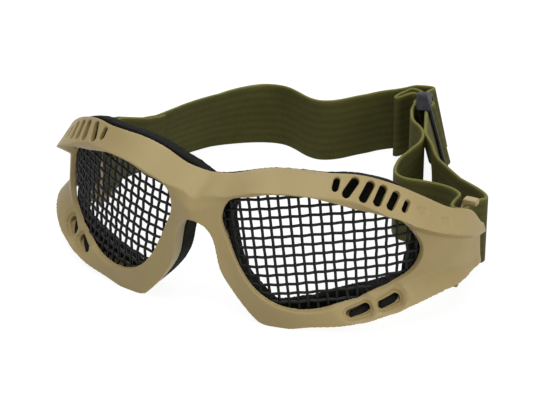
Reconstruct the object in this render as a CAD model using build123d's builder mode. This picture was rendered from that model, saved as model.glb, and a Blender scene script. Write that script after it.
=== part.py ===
from build123d import *
import os
from math import cos, hypot, radians, sin, tan

os.makedirs("parts", exist_ok=True)

# Mesh safety goggles: a moulded wrap-around frame, two woven wire lenses, a foam gasket
# and an elastic head strap that runs through a three-bar slider.
# Lengths are millimetres. +Z is up, the wearer looks along -Y, and the part stands on Z = 0.
# Every section of the frame lies in a plane that fans out from one upright axis behind the face.

# Driving dimensions of the frame
half_width = 89.5
frame_height = 60.4
wall = 2.4
front_reach = 70.5
cut_overrun = 6.0
table_size = 400.0

# Driving dimensions of the lenses, the gasket, the strap and the slider
lens_wire = 0.8
lens_pitch = 4.3
lens_gap = 0.15
lens_margin = 3.2
foam_thickness = 4.0
foam_width = 5.0
vent_cover = 14.0
vent_cover_angles = (28, 42)
strap_width = 28.0
strap_thickness = 1.4
strap_reach = 105.5
slider_length = 19.0
slider_bar = 1.7
slider_bar_length = 2.6
slider_plate = 2.6
slider_round = 1.6
return_lead = 12.0
thread_rows = 2
thread_step = 1.2
thread_width = 0.6
thread_height = 0.3
thread_gap = 0.02
thread_share = 0.8
fit_gap = 0.15
foam_gap = 0.3

# The strap's lower edge at the slider, which stands on the table below it
slider_lift = slider_plate + 2 * fit_gap

# The axis of the fan is placed so that the front and the rear of the part are equally far from Y = 0
axis_y = (front_reach - strap_reach) / 2


def fan_plane(angle):
    """An upright plane through the axis: local X points outwards, local Y points up."""
    out = (sin(radians(angle)), -cos(radians(angle)), 0)
    return Plane(origin=(0, axis_y, 0), x_dir=out, z_dir=(out[1], -out[0], 0))


def fan_point(angle, radius, height):
    """The point at this angle from straight ahead, distance from the axis and height."""
    return Vector(radius * sin(radians(angle)), axis_y - radius * cos(radians(angle)), height)


# Frame
# Each station gives an angle from straight ahead and the outer corners of the section there:
# rear top edge, brow ridge, foot of the ridge, lower crease, lower edge.
# Distances are shares of half_width, heights are shares of frame_height.
station_shares = [
    (0, (0.598, 0.894), (0.743, 0.806), (0.776, 0.745), (0.787, 0.630), (0.790, 0.200)),
    (10, (0.607, 0.919), (0.732, 0.874), (0.739, 0.800), (0.751, 0.500), (0.741, 0.190)),
    (20, (0.612, 0.964), (0.760, 0.944), (0.766, 0.890), (0.785, 0.320), (0.752, 0.025)),
    (28, (0.631, 0.987), (0.762, 0.944), (0.768, 0.890), (0.803, 0.210), (0.780, -0.008)),
    (36, (0.670, 0.998), (0.777, 0.927), (0.777, 0.868), (0.819, 0.185), (0.823, 0.028)),
    (45, (0.737, 1.000), (0.816, 0.887), (0.813, 0.826), (0.844, 0.190), (0.880, 0.057)),
    (52, (0.771, 0.987), (0.869, 0.828), (0.840, 0.780), (0.866, 0.215), (0.918, 0.092)),
    (58, (0.810, 0.949), (0.920, 0.745), (0.870, 0.700), (0.885, 0.255), (0.950, 0.133)),
    (64, (0.849, 0.886), (0.955, 0.675), (0.893, 0.630), (0.904, 0.288), (0.974, 0.172)),
    (70, (0.891, 0.798), (0.977, 0.601), (0.914, 0.555), (0.926, 0.300), (0.990, 0.197)),
    (77, (0.933, 0.690), (0.989, 0.526), (0.939, 0.480), (0.954, 0.286), (1.000, 0.203)),
    (84, (0.961, 0.615), (0.994, 0.455), (0.959, 0.414), (0.966, 0.245), (0.980, 0.189)),
    (90, (0.978, 0.470), (0.992, 0.410), (0.966, 0.374), (0.970, 0.242), (0.975, 0.194)),
]
section_step = 4.5


def corner_shares_at(angle):
    """The corner shares at any angle, on a smooth curve through the stations."""
    last = len(station_shares) - 2
    place = min(sum(angle >= station[0] for station in station_shares) - 1, last)
    around = [station_shares[min(max(place + step, 0), last + 1)] for step in (-1, 0, 1, 2)]
    (before, *_), (start, *_), (end, *_), (after, *_) = around
    span = end - start
    part = (angle - start) / span
    shares = []
    for corners in zip(*[station[1:] for station in around]):
        corner = []
        for a, b, c, d in zip(*corners):
            slope_in = span * (c - a) / (end - before)
            slope_out = span * (d - b) / (after - start)
            bend = 3 * (c - b) - 2 * slope_in - slope_out
            curl = 2 * (b - c) + slope_in + slope_out
            corner.append(b + part * (slope_in + part * (bend + part * curl)))
        shares.append(corner)
    return shares


# How far the floor of the frame reaches back from the lower edge: front, temple and rear end
floor_depth = 10.0
temple_floor_depth = 7.5
rear_floor_depth = 4.0
floor_angles = (45, 70, 84)


def floor_depth_at(angle):
    """The floor is deep under the eyes and narrows to a lip along the temple."""
    front_angle, temple_angle, rear_angle = floor_angles
    front_part = min(max((angle - front_angle) / (temple_angle - front_angle), 0), 1)
    rear_part = min(max((angle - temple_angle) / (rear_angle - temple_angle), 0), 1)
    temple_change = front_part * (temple_floor_depth - floor_depth)
    return floor_depth + temple_change + rear_part * (rear_floor_depth - temple_floor_depth)


def outer_corners(angle, corner_shares):
    """The outer corners of one section as (distance, height), down to the rear edge of the floor."""
    corners = [(half_width * r, frame_height * h) for r, h in corner_shares]
    low_r, low_h = corners[-1]
    corners.append((low_r - floor_depth_at(angle), low_h))
    return corners


def inset_corners(corners, distance):
    """The same open outline moved inwards by the distance, with mitred corners."""
    normals = []
    for (r0, h0), (r1, h1) in zip(corners, corners[1:]):
        length = hypot(r1 - r0, h1 - h0)
        normals.append(((h1 - h0) / length, -(r1 - r0) / length))
    first = (corners[0][0] + distance * normals[0][0], corners[0][1] + distance * normals[0][1])
    moved = [first]
    for (r, h), (ar, ah), (br, bh) in zip(corners[1:-1], normals, normals[1:]):
        lean = distance / (1 + ar * br + ah * bh)
        moved.append((r + lean * (ar + br), h + lean * (ah + bh)))
    last = (corners[-1][0] + distance * normals[-1][0], corners[-1][1] + distance * normals[-1][1])
    moved.append(last)
    return moved


def fan_loft(sections, straight=False):
    """The solid lofted round the fan through closed sections, each an angle and its corners."""
    with BuildPart() as body:
        for angle, corners in sections:
            with BuildSketch(fan_plane(angle)):
                with BuildLine():
                    Polyline(*corners, close=True)
                make_face()
        loft(ruled=straight)
    return body.part


# Where the gasket and the lenses end, and where each ring of the gasket starts and ends
foam_end = 77
foam_ring_start = 10
foam_ring_end = 70


def both_sides(sections):
    """The right side's sections, repeated on the left without the middle one."""
    left = [(-angle, corners) for angle, corners in sections if angle > 0]
    return left[::-1] + sections


def seat_ends(outer):
    """The ends of the gasket's seat in one section: behind the rim, and clear of wall and lens."""
    rim = inset_corners(outer, wall)
    top = (min(outer[0][0], rim[0][0]) - foam_gap, outer[0][1])
    bottom = (outer[-1][0] - foam_gap, max(outer[-1][1], 0) + fit_gap)
    lean = (top[0] - bottom[0]) / (top[1] - bottom[1])
    lens_rear = inset_corners(outer, wall + lens_gap + lens_wire)
    reach = [bottom[0] + lean * (h - bottom[1]) - (r - foam_gap) for r, h in lens_rear[2:4]]
    shift = max(reach + [0])
    return (top[0] - shift, top[1]), (bottom[0] - shift, bottom[1])


def line_crossing(a, b, c, d):
    """Where the line through a and b meets the line through c and d."""
    along = (b[0] - a[0], b[1] - a[1])
    other = (d[0] - c[0], d[1] - c[1])
    turn = along[0] * other[1] - along[1] * other[0]
    step = ((c[0] - a[0]) * other[1] - (c[1] - a[1]) * other[0]) / turn
    return a[0] + step * along[0], a[1] + step * along[1]


def lens_face(outer, depth):
    """One face of the lens in a section: straight up to the brow, and along the front below."""
    roof_rear, ridge, foot, crease, low_edge = inset_corners(outer, depth)[:-1]
    return [line_crossing(roof_rear, ridge, foot, crease), crease, low_edge]


shell_sections = []
nose_sections = []
seat_sections = []
lens_sections = []
for number in range(int(station_shares[-1][0] / section_step) + 1):
    angle = section_step * number
    outer = outer_corners(angle, corner_shares_at(angle))
    shell_sections.append((angle, outer + inset_corners(outer, wall)[::-1]))
    if angle <= foam_end:
        seat_top, seat_bottom = seat_ends(outer)
        seat_sections.append((angle, seat_top, seat_bottom))
        middle = inset_corners(outer, wall / 2)
        rear = [(r + foam_gap / 2, h) for r, h in (seat_top, seat_bottom)]
        nose_sections.append((angle, [rear[0]] + middle[:-1] + [rear[1]]))
        front_face = lens_face(outer, wall + lens_gap)
        rear_face = lens_face(outer, wall + lens_gap + lens_wire)
        lens_sections.append((angle, front_face + rear_face[::-1]))

# The nose arch is cut through the front, and a wall round it runs back to the gasket.
# Half widths are shares of nose_width, heights are shares of nose_top.
nose_width = 25.0
nose_top = 41.0
nose_side_shares = [(0.21, 0.925), (0.33, 0.75), (0.40, 0.51), (0.55, 0.33), (0.74, 0.17), (1.0, 0.0)]


def nose_prism(grow):
    """The nose arch, grown by the given amount, as a bar through the whole depth of the front."""
    side = [(nose_width * x + grow, nose_top * h) for x, h in nose_side_shares]
    foot_x = side[-1][0]
    with BuildPart() as prism:
        with BuildSketch(Plane.XZ):
            with BuildLine():
                Spline(*[(-x, h) for x, h in side[::-1]], (0, nose_top + grow), *side)
                Polyline((foot_x, 0), (foot_x, -cut_overrun), (-foot_x, -cut_overrun), (-foot_x, 0))
            make_face()
        extrude(amount=2 * front_reach, both=True)
    return prism.part


# Eye openings: a cone from the axis of the fan. Its outline lies on a plane at lens_distance,
# given as shares of the opening's length and height from the middle.
lens_direction = 38
lens_distance = 70.0
lens_length = 79.2
lens_height = 47.0
lens_middle = 30.0
lens_cone_shares = (0.5, 1.5)
lens_outline_shares = [
    (-0.379, 0.490),
    (-0.447, 0.450),
    (-0.487, 0.345),
    (-0.456, 0.140),
    (-0.375, -0.157),
    (-0.280, -0.351),
    (-0.178, -0.440),
    (-0.060, -0.458),
    (0.060, -0.412),
    (0.191, -0.343),
    (0.357, -0.257),
    (0.481, -0.157),
    (0.513, -0.036),
    (0.476, 0.100),
    (0.403, 0.228),
    (0.227, 0.350),
    (0.077, 0.430),
    (-0.110, 0.490),
    (-0.249, 0.510),
]


def lens_plane(distance):
    """A plane square to the direction of the eye opening, at a distance from the axis."""
    across = (cos(radians(lens_direction)), sin(radians(lens_direction)), 0)
    middle = fan_point(lens_direction, distance, lens_middle)
    return Plane(origin=middle, x_dir=across, z_dir=(across[1], -across[0], 0))


def lens_outline(scale, grow):
    """The outline of the eye opening at a scale of its plane, grown by the given amount."""
    wide = scale * (lens_length + 2 * grow)
    tall = scale * (lens_height + 2 * grow)
    with BuildSketch() as outline:
        with BuildLine():
            Spline(*[(wide * x, tall * h) for x, h in lens_outline_shares], periodic=True)
        make_face()
    return outline.sketch


def lens_cone(grow):
    """A cone from the axis through the eye opening, its outline grown by the given amount."""
    with BuildPart() as cone:
        for scale in lens_cone_shares:
            with BuildSketch(lens_plane(scale * lens_distance)):
                add(lens_outline(scale, grow))
        loft()
    return cone.part


# Brow vents: six slots a side, each given by the angle and height of its upper and lower end.
# Heights are shares of frame_height.
vent_width = 3.2
small_vent_width = 2.4
slot_corner_share = 0.29
vent_depth = 2 * wall
vent_end_shares = [
    ((45.4, 0.974), (43.9, 0.930)),
    ((50.8, 0.965), (46.5, 0.901)),
    ((54.9, 0.940), (50.8, 0.869)),
    ((58.1, 0.911), (54.4, 0.841)),
    ((61.3, 0.868), (57.7, 0.810)),
    ((63.7, 0.815), (61.4, 0.778)),
]
# Cheek vents: two slots a side in shallow recesses, each given by its angle and height
cheek_vent_shares = [(48.4, 0.159), (56.5, 0.205)]
cheek_vent_length = 7.6
cheek_vent_width = 3.2
cheek_vent_rise = 16
cheek_recess_border = 0.9
cheek_recess_depth = 0.9
cheek_vent_depth = 1.5 * wall
# Temple dimples: two blind slots a side on the brow
dimple_shares = [(67.0, 0.745), (73.5, 0.637)]
dimple_length = 5.2
dimple_width = 3.0
dimple_depth = 0.5
dimple_fall = 38


def surface_at(body, angle, height):
    """Where a level line from the axis leaves the body, and the way the surface faces there."""
    out = Vector(sin(radians(angle)), -cos(radians(angle)), 0)
    line = Axis((0, axis_y, height), out)
    hits = [hit for face in body.faces() for hit in face.find_intersection_points(line)]
    return max(hits, key=lambda hit: hit[0].dot(out))


def slot_cutter(middle, along, normal, length, width, depth, reach):
    """A slot that runs along a direction and is sunk by depth below the surface."""
    along = along - normal * along.dot(normal)
    plane = Plane(origin=middle - normal * depth, x_dir=along, z_dir=normal)
    with BuildPart() as cutter:
        with BuildSketch(plane) as outline:
            Rectangle(length, width)
            chamfer(outline.vertices(), width * slot_corner_share)
        extrude(amount=depth + reach)
    return cutter.part


def brow_vents(body):
    """The cutters of the six slots in the right brow."""
    cutters = []
    for number, ends in enumerate(vent_end_shares):
        small = number in (0, len(vent_end_shares) - 1)
        width = small_vent_width if small else vent_width
        places = [surface_at(body, angle, frame_height * h) for angle, h in ends]
        (top, top_way), (foot, foot_way) = places
        normal = (top_way + foot_way).normalized()
        length = (top - foot).length + width / 2
        middle = (top + foot) * 0.5
        cutters.append(slot_cutter(middle, top - foot, normal, length, width, vent_depth, cut_overrun))
    return cutters


def turned_slots(body, places, size, tilt, depth, reach):
    """Slots at places given by angle and height, turned from level by the tilt."""
    cutters = []
    for angle, height in places:
        middle, normal = surface_at(body, angle, frame_height * height)
        level = Vector(cos(radians(angle)), sin(radians(angle)), 0) * cos(radians(tilt))
        along = level + Vector(0, 0, sin(radians(tilt)))
        cutters.append(slot_cutter(middle, along, normal, *size, depth, reach))
    return cutters


# Strap bar: an upright post inside each temple's rear end. A bracket holds its foot, and a hook
# on its free top end keeps the strap down.
bar_x = 77.6
bar_y = 2.0
bar_width = 4.4
bar_depth = 3.5
bar_round = 1.4
strap_low = 5.5
strap_rise_gap = 1.1
bracket_wall = 2.2
bracket_gap = 2.5
bracket_side = 1.2
pad_reach = 7.0
pad_low = 16.0
pad_high = 26.0
plate_high = 29.0
lug_height = 2.2
hook_reach = 3.4
hook_height = 2.8
hook_round = 0.9

# Room between the strap's loop and the bar: the strap can swing up and down on it
strap_play = 2.4
loop_half = bar_width / 2 + 2 * fit_gap + strap_thickness / 2
loop_front = bar_y - bar_depth / 2 - strap_play - strap_thickness / 2
bracket_rear = loop_front - strap_thickness / 2 - bracket_gap
bar_low = strap_low - strap_rise_gap
bar_high = strap_low + strap_width + strap_rise_gap


def box_between(x_ends, y_ends, z_ends):
    """A box between two values along each axis, with Y counted from the axis of the fan."""
    size = [high - low for low, high in (x_ends, y_ends, z_ends)]
    middle = [(high + low) / 2 for low, high in (x_ends, y_ends, z_ends)]
    with Locations((middle[0], axis_y + middle[1], middle[2])):
        Box(*size)


def strap_bar():
    """The right strap bar with its bracket, which a pad joins to the temple's wall."""
    inner_x = bar_x - bar_width / 2
    outer_x = bar_x + bar_width / 2
    plate_x = outer_x + bracket_side
    front_y = bracket_rear - bracket_wall
    rear_y = bar_y + bar_depth / 2
    low_z = bar_low - lug_height
    bar_ends = (bar_y - bar_depth / 2, rear_y)
    with BuildPart() as bar:
        with BuildSketch(Plane.XY.offset(low_z)):
            with Locations((bar_x, axis_y + bar_y)):
                RectangleRounded(bar_width, bar_depth, bar_round)
        extrude(amount=bar_high - low_z)
        box_between((inner_x, outer_x), (front_y, rear_y), (low_z, bar_low))
        box_between((inner_x, plate_x), (front_y, bracket_rear), (low_z, plate_high))
        box_between((inner_x, bar_x + pad_reach), (front_y, bracket_rear), (pad_low, pad_high))
        box_between((bar_x, outer_x + hook_reach), bar_ends, (bar_high, bar_high + hook_height))
        fillet(bar.edges().filter_by(Axis.Y).group_by(Axis.Z)[-1], radius=hook_round)
    return bar.part


with BuildPart() as nose_walls:
    add(fan_loft(both_sides(nose_sections)))
    add(nose_prism(wall), mode=Mode.INTERSECT)

with BuildPart() as frame:
    add(fan_loft(both_sides(shell_sections)))
    bare_shell = frame.part
    cutters = [lens_cone(0)] + brow_vents(bare_shell)
    cheek_slot = (cheek_vent_length, cheek_vent_width)
    cheek_recess = [size + 2 * cheek_recess_border for size in cheek_slot]
    dimple = (dimple_length, dimple_width)
    cutters += turned_slots(
        bare_shell, cheek_vent_shares, cheek_slot, cheek_vent_rise, cheek_vent_depth, wall
    )
    cutters += turned_slots(
        bare_shell, cheek_vent_shares, cheek_recess, cheek_vent_rise, cheek_recess_depth, wall
    )
    cutters += turned_slots(bare_shell, dimple_shares, dimple, -dimple_fall, dimple_depth, wall)
    add(nose_walls.part)
    add(strap_bar())
    add(strap_bar().mirror(Plane.YZ))
    add(nose_prism(0), mode=Mode.SUBTRACT)
    add(cutters + [cutter.mirror(Plane.YZ) for cutter in cutters], mode=Mode.SUBTRACT)
    with Locations((0, 0, -cut_overrun)):
        Box(table_size, table_size, 2 * cut_overrun, mode=Mode.SUBTRACT)

# Lenses: a curved sheet of wire mesh behind each eye opening, a holed sheet with square holes
def lens_holes():
    """The square holes of one lens: equal steps round the curve, kept inside the opening."""
    outline = lens_outline(1, 0).face()
    step = lens_pitch / lens_distance
    hole = lens_pitch - lens_wire
    columns = int(lens_length / lens_pitch)
    rows = int(lens_height / lens_pitch) + 1
    with BuildPart() as holes:
        with BuildSketch(lens_plane(lens_distance)):
            for column in range(-columns, columns + 1):
                across = lens_distance * sin(column * step)
                for row in range(-rows, rows + 1):
                    up = row * lens_pitch
                    if outline.is_inside((across, up, 0)):
                        with Locations((across, up)):
                            Rectangle(hole * cos(column * step), hole)
        extrude(amount=lens_distance / 2, both=True)
    return holes.part


with BuildPart() as lens_mesh_right:
    add(fan_loft(both_sides(lens_sections), straight=True))
    add(lens_cone(lens_margin), mode=Mode.INTERSECT)
    add(nose_prism(wall + lens_gap), mode=Mode.SUBTRACT)
    add(lens_holes(), mode=Mode.SUBTRACT)

with BuildPart() as lens_mesh_left:
    add(lens_mesh_right.part.mirror(Plane.YZ))

# Foam gasket: one band that follows the frame's rear rim, with a ring round each eye


def bare_at(angle):
    """No border: the slab reaches the top of the seat."""
    return 0 * angle


def cover_at(angle):
    """How far the gasket reaches down from its top edge: further where it covers the vents."""
    cover_start, cover_full = vent_cover_angles
    part = min(max((angle - cover_start) / (cover_full - cover_start), 0), 1)
    return foam_width + part * (vent_cover - foam_width)


def foam_slab(start_angle, end_angle, top_border_at, low_border, spare):
    """The fan between the seat and the face, short of the seat's ends by the borders."""
    sections = []
    for angle, (top_r, top_h), (low_r, low_h) in seat_sections:
        if start_angle <= angle <= end_angle:
            lean = (top_r - low_r) / (top_h - low_h)
            heights = (top_h - top_border_at(angle), low_h + low_border)
            ends = [(low_r + lean * (h - low_h), h) for h in heights]
            front = [(r + spare, h) for r, h in ends]
            rear = [(r - foam_thickness - spare, h) for r, h in ends]
            sections.append((angle, front + rear[::-1]))
    return sections


with BuildPart() as eye_window:
    window = foam_slab(foam_ring_start, foam_ring_end, cover_at, foam_width, wall)
    add(fan_loft(window, straight=True))
    add(nose_prism(foam_width), mode=Mode.SUBTRACT)

with BuildPart() as foam_gasket:
    add(fan_loft(both_sides(foam_slab(0, foam_end, bare_at, 0, 0)), straight=True))
    add(nose_prism(0), mode=Mode.SUBTRACT)
    add(eye_window.part, mode=Mode.SUBTRACT)
    add(eye_window.part.mirror(Plane.YZ), mode=Mode.SUBTRACT)

# Strap: one length of webbing that stands on its edge. Its route is seen from above, as shares
# of half_width and strap_reach from the axis of the fan. It starts as a flap sewn behind the
# left bar, goes round that bar, behind the head, round the right bar and ends at the return.
left_route_shares = [(-0.894, 0.085), (-0.858, 0.256), (-0.822, 0.332)]
rear_route_shares = [
    (-0.771, 0.474),
    (-0.682, 0.616),
    (-0.581, 0.706),
    (-0.492, 0.758),
    (-0.402, 0.774),
    (-0.324, 0.749),
    (-0.246, 0.711),
    (-0.173, 0.700),
    (-0.101, 0.739),
    (-0.039, 0.815),
    (0.034, 0.886),
    (0.126, 0.924),
    (0.212, 0.972),
    (0.320, 0.996),
]
slider_run_shares = [(0.3005, 0.944), (0.508, 0.502)]
right_route_shares = [
    (0.542, 0.441),
    (0.603, 0.393),
    (0.753, 0.283),
    (0.849, 0.218),
    (0.916, 0.156),
    (0.945, 0.095),
]
return_route_shares = [
    (0.771, 0.142),
    (0.693, 0.161),
    (0.615, 0.154),
    (0.547, 0.133),
    (0.492, 0.166),
    (0.447, 0.237),
    (0.413, 0.322),
    (0.402, 0.389),
    (0.413, 0.455),
    (0.430, 0.502),
    (0.419, 0.559),
    (0.380, 0.607),
    (0.330, 0.645),
    (0.302, 0.692),
    (0.274, 0.749),
    (0.263, 0.825),
    (0.251, 0.877),
    (0.218, 0.900),
    (0.190, 0.872),
    (0.162, 0.829),
    (0.140, 0.839),
    (0.156, 0.891),
    (0.208, 0.944),
]
# How the strap's lower edge lies: raised at the bars, down on the table further back, and
# raised again where the slider stands under it. Reaches are shares of strap_reach.
edge_reach_shares = [-0.10, 0.08, 0.30, 0.42, 0.56, 1.10]
lift_start_share = 0.0
lift_end_share = 0.22
bend_share = 0.45


def strap_points(shares):
    """Points of a route as lengths, with Y counted from the middle of the part."""
    return [Vector(half_width * x, axis_y + strap_reach * y, 0) for x, y in shares]


def webbing_radii(points):
    """At each corner the largest arc that half of the shorter run beside it allows."""
    radii = []
    for before, corner, after in zip(points, points[1:], points[2:]):
        run_in = corner - before
        run_out = after - corner
        shorter = min(run_in.length, run_out.length)
        radii.append(bend_share * shorter / tan(radians(run_in.get_angle(run_out) / 2)))
    return radii


def edge_band(ends, heights):
    """An upright outline of the strap's width above a lower edge given by its reach and height."""
    edge = list(zip(ends, heights))
    top = [(end, height + strap_width) for end, height in edge]
    with BuildLine() as band:
        Polyline(*edge, *top[::-1], close=True)
    return band.line


def strap_space():
    """The space between the strap's lower and upper edges: left, rising behind, and right."""
    reaches = [axis_y + strap_reach * share for share in edge_reach_shares]
    lift_start = half_width * lift_start_share
    lift_end = half_width * lift_end_share
    rear = strap_reach * edge_reach_shares[-1]
    with BuildPart() as space:
        with BuildSketch(Plane.YZ.offset(lift_start)):
            add(edge_band(reaches, (strap_low, strap_low, 0, 0, 0, 0)))
            make_face()
        extrude(amount=-half_width - lift_start)
        with BuildSketch(Plane.YZ.offset(lift_end)):
            add(edge_band(reaches, (strap_low, strap_low, 0, 0, slider_lift, slider_lift)))
            make_face()
        extrude(amount=half_width - lift_end)
        with BuildSketch(Plane.XZ.offset(-axis_y - rear)):
            add(edge_band((lift_start, lift_end), (0, slider_lift)))
            make_face()
        extrude(amount=rear / 2)
    return space.part


def webbing(points):
    """A band of webbing that stands on its edge along a route."""
    with BuildPart() as band:
        with BuildSketch():
            with BuildLine():
                FilletPolyline(*points, radius=webbing_radii(points))
            trace(line_width=strap_thickness)
        extrude(amount=strap_low + strap_width)
        add(strap_space(), mode=Mode.INTERSECT)
    return band.part


def bar_loop(side):
    """The corners of the loop round a bar, from the end of its inner leg to its outer leg."""
    inner_x = side * (bar_x - loop_half)
    outer_x = side * (bar_x + loop_half)
    front_y = axis_y + loop_front
    rear_y = axis_y + bar_y + bar_depth
    return [
        Vector(inner_x, rear_y, 0),
        Vector(inner_x, front_y, 0),
        Vector(outer_x, front_y, 0),
        Vector(outer_x, rear_y, 0),
    ]


# Slider: it stands on the straight run of the strap. Along is forward on the strap, and inner is
# square to it, towards the middle of the head.
slider_place = 12.4
run_start, run_end = strap_points(slider_run_shares)
slider_along = (run_end - run_start).normalized()
slider_inner = slider_along.cross(Vector(0, 0, 1))
slider_middle = run_start + slider_along * slider_place

# Layers at the slider, counted inwards from the middle of the main strap: the return, the
# slider's centre bar and the flap of the return
layer_step = strap_thickness + 2 * fit_gap
return_layer = strap_thickness + fit_gap
bar_from = return_layer + strap_thickness / 2 + fit_gap
bar_to = bar_from + slider_bar
flap_layer = bar_to + fit_gap + strap_thickness / 2
loop_reach = slider_bar_length / 2 + 2 * fit_gap + strap_thickness / 2


def by_slider(along, inner):
    """A point beside the slider's middle, along the strap and towards the inner side."""
    return slider_middle + slider_along * along + slider_inner * inner


def beside(start, end, gap):
    """A run moved sideways, to the right of its direction, by the gap."""
    shift = (end - start).normalized().cross(Vector(0, 0, 1)) * gap
    return start + shift, end + shift


left_route = strap_points(left_route_shares)
left_flap = []
for start, end in zip(left_route, left_route[1:]):
    left_flap += beside(start, end, layer_step)
left_flap = [left_flap[-1], (left_flap[1] + left_flap[2]) * 0.5, left_flap[0]]

with BuildPart() as strap:
    strap_route = left_flap + bar_loop(-1) + left_route + strap_points(rear_route_shares)
    strap_route += [run_start, run_end] + strap_points(right_route_shares) + bar_loop(1)[::-1]
    add(webbing(strap_route))

# Where the flap leaves the centre bar, where it lands on the return and where it ends
flap_shares = (-0.65, -1.45, -3.1)
flap_start, flap_landing, flap_end = [share * slider_bar_length for share in flap_shares]
with BuildPart() as strap_return:
    leg_end = bar_loop(1)[0]
    return_route = [leg_end, leg_end + Vector(0, bar_depth, 0)] + strap_points(return_route_shares)
    return_route += [
        by_slider(-return_lead, return_layer),
        by_slider(loop_reach, return_layer),
        by_slider(loop_reach, flap_layer),
        by_slider(flap_start, flap_layer),
        by_slider(flap_landing, return_layer + layer_step),
        by_slider(flap_end, return_layer + layer_step),
    ]
    add(webbing(return_route))

with BuildPart() as slider:
    slider_plane = Plane(origin=slider_middle, x_dir=slider_along, z_dir=(0, 0, 1))
    outer_face = strap_thickness / 2 + fit_gap
    plate_depth = outer_face + slider_bar + bar_to
    plate_middle = outer_face + slider_bar - plate_depth / 2
    top_plate = slider_lift + strap_width + fit_gap
    bar_middle = (bar_from + bar_to) / 2
    for height in (fit_gap, top_plate):
        with BuildSketch(slider_plane.offset(height)):
            with Locations((0, plate_middle)):
                RectangleRounded(slider_length, plate_depth, slider_round)
        extrude(amount=slider_plate)
    with BuildSketch(slider_plane.offset(fit_gap + slider_plate / 2)):
        with Locations((0, -bar_middle)):
            RectangleRounded(slider_bar_length, slider_bar, slider_bar / 2 - fit_gap / 2)
        outer_bar = slider_length / 2 - slider_bar_length / 2
        with Locations(*[(along, outer_face + slider_bar / 2) for along in (-outer_bar, outer_bar)]):
            RectangleRounded(slider_bar_length, slider_bar, slider_bar / 2 - fit_gap / 2)
    extrude(amount=top_plate - fit_gap)


def bar_tack(start, end, height):
    """Rows of thread across the webbing, raised on the right-hand face of a straight run."""
    along = (end - start).normalized()
    out = along.cross(Vector(0, 0, 1))
    face = (start + end) * 0.5 + out * (strap_thickness / 2 + thread_gap) + Vector(0, 0, height)
    with BuildPart() as tack:
        with BuildSketch(Plane(origin=face, x_dir=along, z_dir=out)):
            with GridLocations(thread_step, 0, thread_rows, 1):
                SlotOverall(strap_width * thread_share, thread_width, rotation=90)
        extrude(amount=thread_height)
    return tack.part


with BuildPart() as strap_stitches:
    tack_start, tack_end = beside(left_route[0], left_route[1], layer_step)
    add(bar_tack(tack_start, tack_end, strap_low / 2 + strap_width / 2))

with BuildPart() as return_stitches:
    flap_run = [by_slider(along, return_layer + layer_step) for along in (flap_end, flap_landing)]
    add(bar_tack(*flap_run, slider_lift + strap_width / 2))

frame.part.label = "frame"
export_step(frame.part, "parts/frame.step")
lens_mesh_right.part.label = "lens_mesh_right"
export_step(lens_mesh_right.part, "parts/lens_mesh_right.step")
lens_mesh_left.part.label = "lens_mesh_left"
export_step(lens_mesh_left.part, "parts/lens_mesh_left.step")
foam_gasket.part.label = "foam_gasket"
export_step(foam_gasket.part, "parts/foam_gasket.step")
strap.part.label = "strap"
export_step(strap.part, "parts/strap.step")
strap_return.part.label = "strap_return"
export_step(strap_return.part, "parts/strap_return.step")
strap_stitches.part.label = "strap_stitches"
export_step(strap_stitches.part, "parts/strap_stitches.step")
return_stitches.part.label = "return_stitches"
export_step(return_stitches.part, "parts/return_stitches.step")
slider.part.label = "slider"
export_step(slider.part, "parts/slider.step")
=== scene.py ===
# %% [markdown]
# # Mesh safety goggles
# The goggles are a moulded wrap-around frame, two lenses of woven steel wire, a foam gasket and an
# elastic head strap with a three-bar slider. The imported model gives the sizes, the places and the
# moving bodies. This file makes what is seen: rounded moulded edges, woven wires, ribbed webbing.
# Lengths below are typed in millimetres and multiplied by MM, because Blender works in metres.

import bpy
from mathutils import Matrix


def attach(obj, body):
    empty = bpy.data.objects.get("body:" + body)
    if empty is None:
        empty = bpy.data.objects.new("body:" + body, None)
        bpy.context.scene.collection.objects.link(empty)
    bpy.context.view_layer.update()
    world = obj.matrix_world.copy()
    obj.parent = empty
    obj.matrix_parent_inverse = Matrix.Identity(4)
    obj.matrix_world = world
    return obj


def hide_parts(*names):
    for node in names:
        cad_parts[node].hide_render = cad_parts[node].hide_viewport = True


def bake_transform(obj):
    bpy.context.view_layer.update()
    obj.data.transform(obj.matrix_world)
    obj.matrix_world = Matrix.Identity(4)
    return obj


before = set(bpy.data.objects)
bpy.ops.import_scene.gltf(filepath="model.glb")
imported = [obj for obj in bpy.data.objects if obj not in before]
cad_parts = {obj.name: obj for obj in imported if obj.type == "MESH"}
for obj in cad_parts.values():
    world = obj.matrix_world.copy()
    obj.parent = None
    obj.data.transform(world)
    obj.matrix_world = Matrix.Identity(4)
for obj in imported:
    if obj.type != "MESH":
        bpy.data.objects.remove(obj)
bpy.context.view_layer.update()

# %% [markdown]
# Blender's own modules build the meshes, and numpy works on whole arrays of points at once.

# %% Imports and units
from math import pi, radians

import bmesh
import bpy
import numpy as np
from mathutils import Vector

MM = 0.001
scene = bpy.context.scene
scene.view_settings.view_transform = "Standard"

# %% [markdown]
# The photograph looks down on the goggles from the front right, through a long lens, so upright
# lines stay nearly upright. The camera's place was solved from features that show on both sides.

# %% Camera
camera = bpy.data.objects.new("camera", bpy.data.cameras.new("camera"))
camera.data.sensor_width = 36
camera.data.lens = 137.9
camera.data.clip_start = 0.01
camera.location = (0.3195, -0.6635, 0.3833)
camera.rotation_euler = (radians(90 - 26.9), 0, radians(26.6))
scene.collection.objects.link(camera)
scene.camera = camera
print("camera to the middle of the front:", round(camera.location.length, 3), "m")

# %% [markdown]
# A tube is the base of the wires, the threads, the foam pads and the webbing: rings of points,
# joined by four-sided faces. The last side joins the first one, and two end faces close the tube.


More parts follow.
